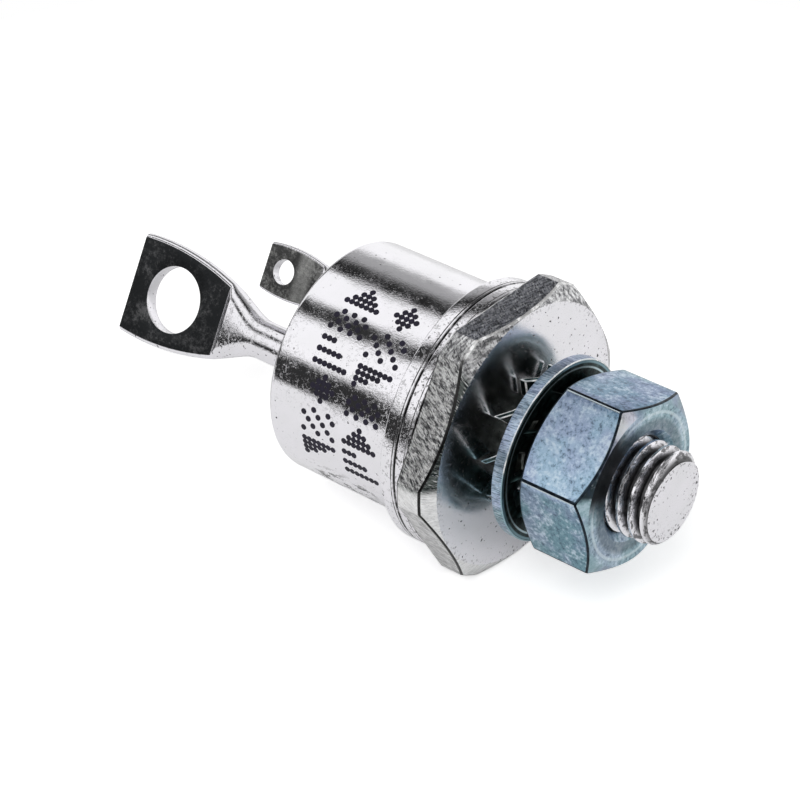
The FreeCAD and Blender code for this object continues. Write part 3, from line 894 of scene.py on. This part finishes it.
def makeNut(size):
    start = size["start"]
    end = start + size["thickness"]
    past = size["barPast"]
    corner = size["acrossFlats"] / math.sqrt(3)
    piece = addBar("nut", 6, corner, start - past, end + past)
    dress(piece, nutZinc, nutEdge, gapShade, nutFace, nutGlint, nutCone)
    turnAboutAxis(piece, size["turn"])
    # the rounded corners get painted shade, nearly black
    easeEdges(piece, size["cornerEdge"], segments=3, angle=40, material=nutEdge)
    for face in piece.data.polygons:
        # the strip of each long edge that lies nearer the flat under it gets a painted highlight
        swing = math.degrees(math.atan2(face.normal.y, face.normal.z)) - size["turn"]
        longEdge = face.material_index == slotOf(piece, nutEdge) and abs(face.normal.x) < 0.2
        if longEdge and (swing + 30) % 60 < size["glintAngle"]:
            face.material_index = slotOf(piece, nutGlint)
    slope = math.tan(math.radians(size["chamferAngle"]))
    reach = corner + size["turnedPast"]
    drop = (reach - size["faceRadius"]) * slope
    corners = [(start, 0), (start, size["faceRadius"]), (start + drop, reach),
               (end - drop, reach), (end, size["faceRadius"]), (end, 0)]
    combine(piece, turnOnLathe("nut turning", corners, fineTurn), "INTERSECT")
    dressFaces(piece, nutCone, lambda face: 0.8 < face.facing < 0.95)
    easeEdges(piece, size["endEdge"], segments=2, angle=40, material=nutEdge, clamp=False)
    # the back faces, toward the washer's gap, get painted shade
    dressFaces(piece, gapShade, lambda face: face.facing < -0.3)
    dressFaces(piece, nutFace, lambda face: face.facing > 0.98)
    bore = size["bore"]
    sunk = size["sink"]
    lip = bore + sunk + size["lip"]
    corners = [
        (start - past, 0),
        (start - past, lip),
        (start - size["lipPast"], lip, size["lipRound"]),
        (start + sunk, bore, size["sinkRound"]),
        (end - sunk, bore, size["sinkRound"]),
        (end + size["lipPast"], lip, size["lipRound"]),
        (end + past, lip),
        (end + past, 0)]
    combine(piece, turnOnLathe("nut bore", corners, plainTurn, segments=3), "DIFFERENCE")
    # the countersinks get painted shade too
    dressFaces(piece, nutEdge, lambda face: face.far < bore + sunk + slack)
    smooth(piece, 20)
    finishPiece(piece, "nut_zinc", "hex_nut")


teal = (0.22, 0.38, 0.44)
# painted light and shade: each flat's tint by angle, the big flat lighter, the top and lower flats
# darker
nutShades = [teal, (-137, (0.18, 0.33, 0.4)), (-77, (0.38, 0.55, 0.71)),
             (-17, (0.2, 0.34, 0.48)), (43, teal)]
nutZinc = makeBlueZinc("nut zinc", nutShades)
# the nut's face: a painted shadow from -78 to -24 degrees, a painted highlight ring at 4.95 mm and
# painted shade round the countersink at 4.1 mm
nutFace = makeBlueZinc("nut face", [(0.34, 0.5, 0.56)], shadow=(-78, -24), rings=[
    (4.95, 0.1, 0.45, (0.8, 0.9, 0.94)), (4.1, 0.45, 0.6, (0.05, 0.08, 0.1))])
# the nut's chamfer cone: painted shade from -70 to -28 degrees, a painted highlight from -28 to -6
nutCone = makeBlueZinc("nut cone", [
    (0.3, 0.45, 0.5), (-70, (0.04, 0.06, 0.07)), (-28, (0.95, 0.97, 1)),
    (-6, (0.28, 0.4, 0.46))], frosted=0.5)
# painted shade on the nut's rounded edges and countersinks, nearly black
nutEdge = makePaintedShade("nut edge", (0.008, 0.012, 0.018), (0.04, 0.06, 0.08))
# painted highlight on one strip of each long edge of the nut
nutGlint = makeSmooth("nut glint", (0.3, 0.4, 0.46), (0.85, 0.92, 0.96), 0.2, 1.0, size=0.9)
# painted shade on the nut's back faces, toward the washer's gap
gapShade = makePaintedShade("gap painted shade", (0.012, 0.022, 0.022), (0.05, 0.09, 0.09))
makeNut(nut)
print("nut made")

washer = {
    "start": 2.06,
    "thickness": 0.8,
    "radius": 6.225,
    "bore": 4.975,
    "round": 0.1,
    "steps": 160,
    "turn": -16,
    "teeth": 10,
    "toothInner": 3.475,
    "toothThickness": 0.5,
    "toothEdge": 0.07,
    # swing in degrees, level, outer radius at each station of a tooth
    "stations": [(-14, 3.38, 4.875), (-7, 2.59, 5.375), (7, 2.33, 5.375), (16.5, 1.405, 4.975),
                 (26, 0.35, 4.875)],
}


def makeWasher(size):
    piece = turnRing("washer", size, size["steps"], 3)
    dress(piece, washerZinc, ringShade, washerBright)
    flat = size["radius"] - size["round"] + slack
    # the ring's flat faces and bore get painted shade; its outer rounding on the nut's side a
    # painted highlight
    dressFaces(piece, ringShade, lambda face: face.far < flat)
    dressFaces(piece, washerBright, lambda face: face.far > flat and face.facing > 0.3)
    tooth = makeTooth(size)
    for index in range(size["teeth"]):
        copy = addCopy(tooth)
        turnAboutAxis(copy, size["turn"] + 360 / size["teeth"] * index)
        pick(piece)
        copy.select_set(True)
        bpy.ops.object.join()
    bpy.data.objects.remove(tooth)
    smooth(piece, 35)
    finishPiece(piece, "washer_zinc", "lock_washer")


def makeTooth(size):
    # a thin upright section, extruded round the axis from station to station
    half = size["toothThickness"] / 2
    inner = size["toothInner"]
    swing, level, outer = size["stations"][0]
    outline = [(level - half, inner), (level - half, outer),
               (level + half, outer), (level + half, inner)]
    piece = drawOutline("tooth", outline, closed=True)
    dress(piece, washerZinc, ringShade, washerBright)
    startEdit(piece)
    bpy.ops.mesh.remove_doubles(threshold=closeTogether)
    bpy.ops.mesh.edge_face_add()
    endEdit()
    turnAboutAxis(piece, swing)
    startEdit(piece)
    for nextSwing, nextLevel, nextOuter in size["stations"][1:]:
        extrude((nextLevel - level) * mm, 0, 0)
        turn = math.radians(nextSwing - swing)
        bpy.ops.transform.rotate(value=-turn, orient_axis="X", center_override=axisCentre)
        if nextOuter != outer:
            drawOut(piece, math.radians(nextSwing), outer, nextOuter)
        swing, level, outer = nextSwing, nextLevel, nextOuter
    endEdit()
    tidyMesh(piece)
    # the teeth get painted shade all over, and painted highlights on their eased edges
    dressFaces(piece, ringShade, lambda face: True)
    easeEdges(piece, size["toothEdge"], segments=2, angle=28, material=washerBright)
    # on the nut's side the edges take the painted shade too
    dressFaces(piece, ringShade, lambda face: face.place > size["start"])
    return piece


def drawOut(piece, swing, before, after):
    # the outer edge of the newest section moves to its own radius
    outward = Vector((0, -math.sin(swing), math.cos(swing)))
    sideways = Vector((0, math.cos(swing), math.sin(swing)))
    centre = Vector(axisCentre)

    def reach(point):
        return (point - centre).dot(outward)

    def onSection(point):
        return abs((point - centre).dot(sideways)) < slack * mm and reach(point) > 0

    pickParts(piece, "VERT", lambda point: onSection(point)
              and abs(reach(point) - before * mm) < slack * mm)
    bpy.ops.transform.translate(value=outward * (after - before) * mm)
    pickParts(piece, "VERT", onSection)


# painted light and shade: the washer's tint changes by angle round the stud
washerZinc = makeBlueZinc("washer zinc", [
    (0.27, 0.43, 0.47), (-100, (0.42, 0.56, 0.7)), (-25, (0.3, 0.41, 0.53))],
    frosted=0.6, lines=True)
# painted highlight on the washer's eased edges above -75 degrees, painted shade under it
washerBright = makeEdge("washer edge", dark=(0.3, 0.45, 0.5), light=grey(1), turn=-75)
# painted shade on the washer's faces and teeth, with a lighter painted line at 6.02 mm and a bright
# painted line at 5.66 mm
ringShade = makePaintedShade("ring painted shade", (0.012, 0.022, 0.022), (0.06, 0.11, 0.11), rings=[
    (6.02, 0.08, 0.8, (0.25, 0.4, 0.46)), (5.66, 0.06, 0.9, (0.6, 0.75, 0.8))])
makeWasher(washer)
print("washer made")

cathode = {
    "offset": -1.5,
    "tip": -33.7,
    "lugLength": 8.3,
    "lugThickness": 1.0,
    "tipWidth": 7.2,
    "shoulderWidth": 5.5,
    "sideRadius": 20.0,
    "sideRound": 0.4,
    "hole": 4.7,
    "holeToTip": 3.9,
    "taper": 3.6,
    "neck": 2.75,
}
gate = {
    "offset": 3.4,
    "tip": -23.25,
    "lugLength": 4.6,
    "lugThickness": 0.7,
    "tipWidth": 3.3,
    "shoulderWidth": 3.05,
    "sideRadius": 11.0,
    "sideRound": 0.22,
    "hole": 1.75,
    "holeToTip": 1.6,
    "taper": 1.6,
    "neck": 2.0,
}
forging = {
    # share of the taper's length, then of the change in width, in thickness and in corner radius
    "stations": [(0.0, 0.0, 0.0, 0.0), (0.18, 0.2, 0.62, 0.55), (0.33, 0.38, 0.74, 0.7),
                 (0.48, 0.56, 0.84, 0.8), (0.63, 0.74, 0.92, 0.89), (0.78, 0.89, 0.97, 0.95),
                 (0.9, 0.97, 1.0, 0.98), (1.0, 1.0, 1.0, 1.0)],
    "lugSteps": 16,
    "lugEdge": 0.05,
    "neckSides": 48,
    "behindTop": 3.0,  # from the can's top to the pin's end inside
    "intoLug": 0.4,
    "inset": 0.02,
    "flatCorner": 0.38,  # corner radius as a share of thickness
    "roundCorner": 0.49,  # and as a share of diameter
}


def lugHalfWidth(size, place):
    # the sides bulge between tip and shoulder, on one radius
    length = size["lugLength"]
    fromTip = place - size["tip"]
    middle = length / 2
    widening = (size["shoulderWidth"] - size["tipWidth"]) * (fromTip / length)
    square = size["sideRadius"] ** 2
    bulge = math.sqrt(square - (fromTip - middle) ** 2) - math.sqrt(square - middle ** 2)
    return (size["tipWidth"] + widening) / 2 + bulge


def makeTerminal(label, size, dull):
    # a flat bar widened step by step into the lug, and joined to its neck
    tip = size["tip"]
    shoulder = tip + size["lugLength"]
    steps = forging["lugSteps"]
    bpy.ops.mesh.primitive_cube_add(size=1, location=axisPoint((tip + shoulder) / 2))
    piece = bpy.context.object
    piece.name = piece.data.name = label + "_pin"
    dress(piece, pinNickel, dull)
    piece.scale = (size["lugLength"] * mm, size["lugThickness"] * mm, mm)
    setInPlace(piece)
    startEdit(piece)
    pickParts(piece, "EDGE", lambda first, second: abs(first.x - second.x) > mm)
    bpy.ops.mesh.subdivide(number_cuts=steps - 1)
    for step in range(steps + 1):
        place = tip + size["lugLength"] * step / steps
        pickParts(piece, "VERT", lambda point: abs(point.x - along(place)) < slack * mm)
        bpy.ops.transform.resize(value=(1, 1, 2 * lugHalfWidth(size, place)),
                                 center_override=axisCentre)
    pickParts(piece, "EDGE", lambda first, second: abs(first.x - second.x) > slack * mm
              and abs(first.y - second.y) < slack * mm)
    bpy.ops.mesh.bevel(offset=size["sideRound"] * mm, segments=5, profile=0.55)
    endEdit()
    combine(piece, addHole(size), "DIFFERENCE")
    combine(piece, makeNeck(size, shoulder), "UNION")
    tidyMesh(piece)
    for face in piece.data.polygons:
        flat = abs(face.normal.y) > 0.985 and face.center.x < along(shoulder)
        face.material_index = slotOf(piece, dull if flat else pinNickel)
    easeEdges(piece, forging["lugEdge"], segments=2, angle=40, material=pinNickel)
    moveToLine(piece, size["offset"])
    smooth(piece, 27)
    finishPiece(piece, "terminal_plate", label + "_terminal")


def addHole(size):
    bpy.ops.mesh.primitive_cylinder_add(
        vertices=smallTurn, radius=size["hole"] * mm / 2, depth=4 * mm,
        location=axisPoint(size["tip"] + size["holeToTip"]), rotation=(math.pi / 2, 0, 0))
    hole = bpy.context.object
    setInPlace(hole)
    return hole


def makeNeck(size, shoulder):
    # a round bar drawn out ring by ring, each ring pressed to a rectangle with round corners
    full = size["neck"]
    thin = size["lugThickness"]
    inset = forging["inset"]
    place = can["top"] + forging["behindTop"]
    bpy.ops.mesh.primitive_circle_add(
        vertices=forging["neckSides"], radius=full * mm / 2, fill_type="NGON",
        location=axisPoint(place), rotation=(0, math.pi / 2, 0))
    neck = bpy.context.object
    setInPlace(neck)
    startEdit(neck)
    rings = []
    for share, wide, thick, rounded in reversed(forging["stations"]):
        there = shoulder + size["taper"] * share
        extrude((there - place) * mm, 0, 0)
        place = there
        flatCorner = forging["flatCorner"] * thin * (1 - rounded)
        rings.append((there, size["shoulderWidth"] * (1 - wide) + full * wide - inset,
                      thin * (1 - thick) + full * thick - inset,
                      flatCorner + forging["roundCorner"] * full * rounded))
    extrude(-forging["intoLug"] * mm, 0, 0)
    rings.append((place - forging["intoLug"],) + rings[-1][1:])
    for there, width, thickness, corner in rings:
        pressRing(neck, there, width, thickness, corner, full)
    endEdit()
    tidyMesh(neck)
    return neck


def pressRing(neck, place, width, thickness, corner, full):
    # the round ring is drawn in to its corners' radius, and its four quarters are moved apart
    def onRing(point):
        return abs(point.x - along(place)) < slack * mm

    pickParts(neck, "VERT", onRing)
    share = 2 * corner / full
    bpy.ops.transform.resize(value=(1, share, share), center_override=axisPoint(place))
    for way in (-1, 1):
        pickParts(neck, "VERT", lambda point: onRing(point) and point.y * way > slack * mm)
        bpy.ops.transform.translate(value=(0, way * (thickness / 2 - corner) * mm, 0))
        pickParts(neck, "VERT", lambda point: onRing(point)
                  and (point.z - axisHeight) * way > slack * mm)
        bpy.ops.transform.translate(value=(0, 0, way * (width / 2 - corner) * mm))


cathodeGrey = makeForgedGrey("forged grey", (0.028, 0.03, 0.032), (0.16, 0.16, 0.165), start=0.48)
# the gate lug carries a painted highlight band 0.6 mm either side of -20
gateGrey = makeForgedGrey("gate grey", grey(0.07), (0.45, 0.45, 0.44), start=0.46,
                          sheen=(-20.0, 0.6))
makeTerminal("cathode", cathode, cathodeGrey)
makeTerminal("gate", gate, gateGrey)
print("terminals made")

inner = {
    # name, dark and light, roughness, metallic, and size of the cloud
    "braze_ring": ("silver braze", (0.62, 0.54, 0.38), (0.82, 0.75, 0.6), 0.3, 1.0),
    "base_solder": ("soft solder", grey(0.5), grey(0.7), 0.35, 1.0),
    "lower_disc": ("ground molybdenum", (0.42, 0.42, 0.44), (0.58, 0.58, 0.6), 0.3, 1.0),
    "alloy_layer": ("aluminium alloy", grey(0.7), grey(0.85), 0.3, 1.0),
    "silicon_pellet": ("lapped silicon", (0.16, 0.16, 0.19), (0.24, 0.24, 0.27), 0.2, 0.5),
    "junction_coating": ("junction rubber", (0.66, 0.65, 0.6), (0.8, 0.79, 0.75), 0.45, 0.0),
    "lead_foot": ("bare copper", (0.68, 0.36, 0.24), (0.85, 0.52, 0.38), 0.28, 1.0),
    "gate_sleeve": ("white sleeving", (0.82, 0.82, 0.79), (0.92, 0.92, 0.9), 0.5, 0.0, 0.2),
}
sameAs = {
    "disc_solder": "base_solder", "foot_solder": "base_solder", "upper_disc": "lower_disc",
    "gate_pad": "alloy_layer", "cathode_lead": "lead_foot", "gate_wire": "lead_foot",
}
finishes = {node: makeSmooth(*values) for node, values in inner.items()}
finishes.update({node: finishes[model] for node, model in sameAs.items()})
for node, material in finishes.items():
    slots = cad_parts[node].data.materials
    for index in range(len(slots)):
        slots[index] = material
    if not slots:
        slots.append(material)
print("inner pieces finished")

studio = {
    # lengths here and for the camera are in metres
    "floorRadius": 0.078,
    "floorDrop": 0.00002,
    "floorColour": 0.86,
    "cameraGlow": 0.5,
    "mirrorGlow": 0.06,
    "plainLight": 0.62,
    "lampPower": 0.9,
    "lampSize": 0.25,
    "lampPlace": (0.12, -0.28, 0.38),
    "lampTarget": (0, 0, 0.01),
    # gaps between the soft lights, as angles about the stud: middle, half width, edges, depth
    "gaps": [(-128, 51, 20, 7, 0.97), (-22, 5, 8, 9, 0.97),
             (35, 8, 4, 8, 0.98), (56, 8, 6, 8, 0.62)],
}
camera = {
    "place": (0.09878, -0.11642, 0.11287),
    "forward": (-0.52964, 0.62793, -0.57026),
    "roll": -1.055,
    "lens": 126,
    "sensor": 36,
    "shift": (0.00175, 0.0016),
    "clipStart": 0.01,
}


def rayIs(bench, kind):
    return bench.node("LightPath", output=f"Is {kind} Ray")


def makeFloor(size):
    # paper that glows for the camera and hardly shows in the metal
    bpy.ops.mesh.primitive_circle_add(vertices=128, radius=size["floorRadius"], fill_type="NGON",
                                      location=(0, 0, -size["floorDrop"]))
    floor = bpy.context.object
    floor.name = "floor"
    setInPlace(floor)
    made = Finish("floor paper", roughness=0.9, emission_strength=1.0)
    made.set("Base Color", grey(size["floorColour"]))
    seen = rayIs(made, "Camera") + rayIs(made, "Transmission")
    glow = made.blend(rayIs(made, "Glossy"), grey(0), grey(size["mirrorGlow"]))
    made.set("Emission Color", made.blend(seen, glow, grey(size["cameraGlow"])))
    dress(floor, made.material)
    floor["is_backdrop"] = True


def makeWorld(size):
    # white all round, and for mirrored light with dark gaps between the soft lights
    world = bpy.data.worlds.new("studio")
    bpy.context.scene.world = world
    world.use_nodes = True
    bench = Bench(world.node_tree)
    _, side, up = bench.split(bench.node("TexCoord", output="Generated"))
    angle = side.join("ARCTAN2", side, up)
    light = 1
    for middle, half, before, after, depth in size["gaps"]:
        start = math.radians(middle - half)
        end = math.radians(middle + half)
        dark = bench.fade(angle, start - math.radians(before), start)
        dark = dark * bench.fade(angle, end + math.radians(after), end)
        light = light * (1 - dark * depth)
    glossy = rayIs(bench, "Glossy")
    clear = rayIs(bench, "Transmission") + rayIs(bench, "Camera")
    plain = (1 - glossy - clear) * size["plainLight"]
    sockets = {"Color": grey(1), "Strength": glossy * light + clear + plain}
    background = bench.node("Background", None, sockets)
    end = bench.tree.nodes.new("ShaderNodeOutputWorld")
    bench.tree.links.new(background.socket, end.inputs["Surface"])


def makeLamp(size):
    bpy.ops.object.light_add(type="AREA", location=size["lampPlace"])
    lamp = bpy.context.object
    lamp.data.energy = size["lampPower"]
    lamp.data.size = size["lampSize"]
    ahead = Vector(size["lampTarget"]) - lamp.location
    lamp.rotation_euler = ahead.to_track_quat("-Z", "Y").to_euler()
    lamp.visible_glossy = False


def makeCamera(size):
    bpy.ops.object.camera_add(location=size["place"])
    seen = bpy.context.object
    level = Vector(size["forward"]).to_track_quat("-Z", "Y")
    seen.rotation_euler = (level @ Quaternion((0, 0, 1), math.radians(size["roll"]))).to_euler()
    seen.data.lens = size["lens"]
    seen.data.sensor_width = size["sensor"]
    seen.data.shift_x, seen.data.shift_y = size["shift"]
    seen.data.clip_start = size["clipStart"]
    bpy.context.scene.camera = seen


makeFloor(studio)
makeWorld(studio)
makeLamp(studio)
makeCamera(camera)
bpy.context.scene.view_settings.view_transform = "Standard"
print("studio made")

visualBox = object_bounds()
plainBoxes = [[list(corner) for corner in box] for box in (cadBox, visualBox)]
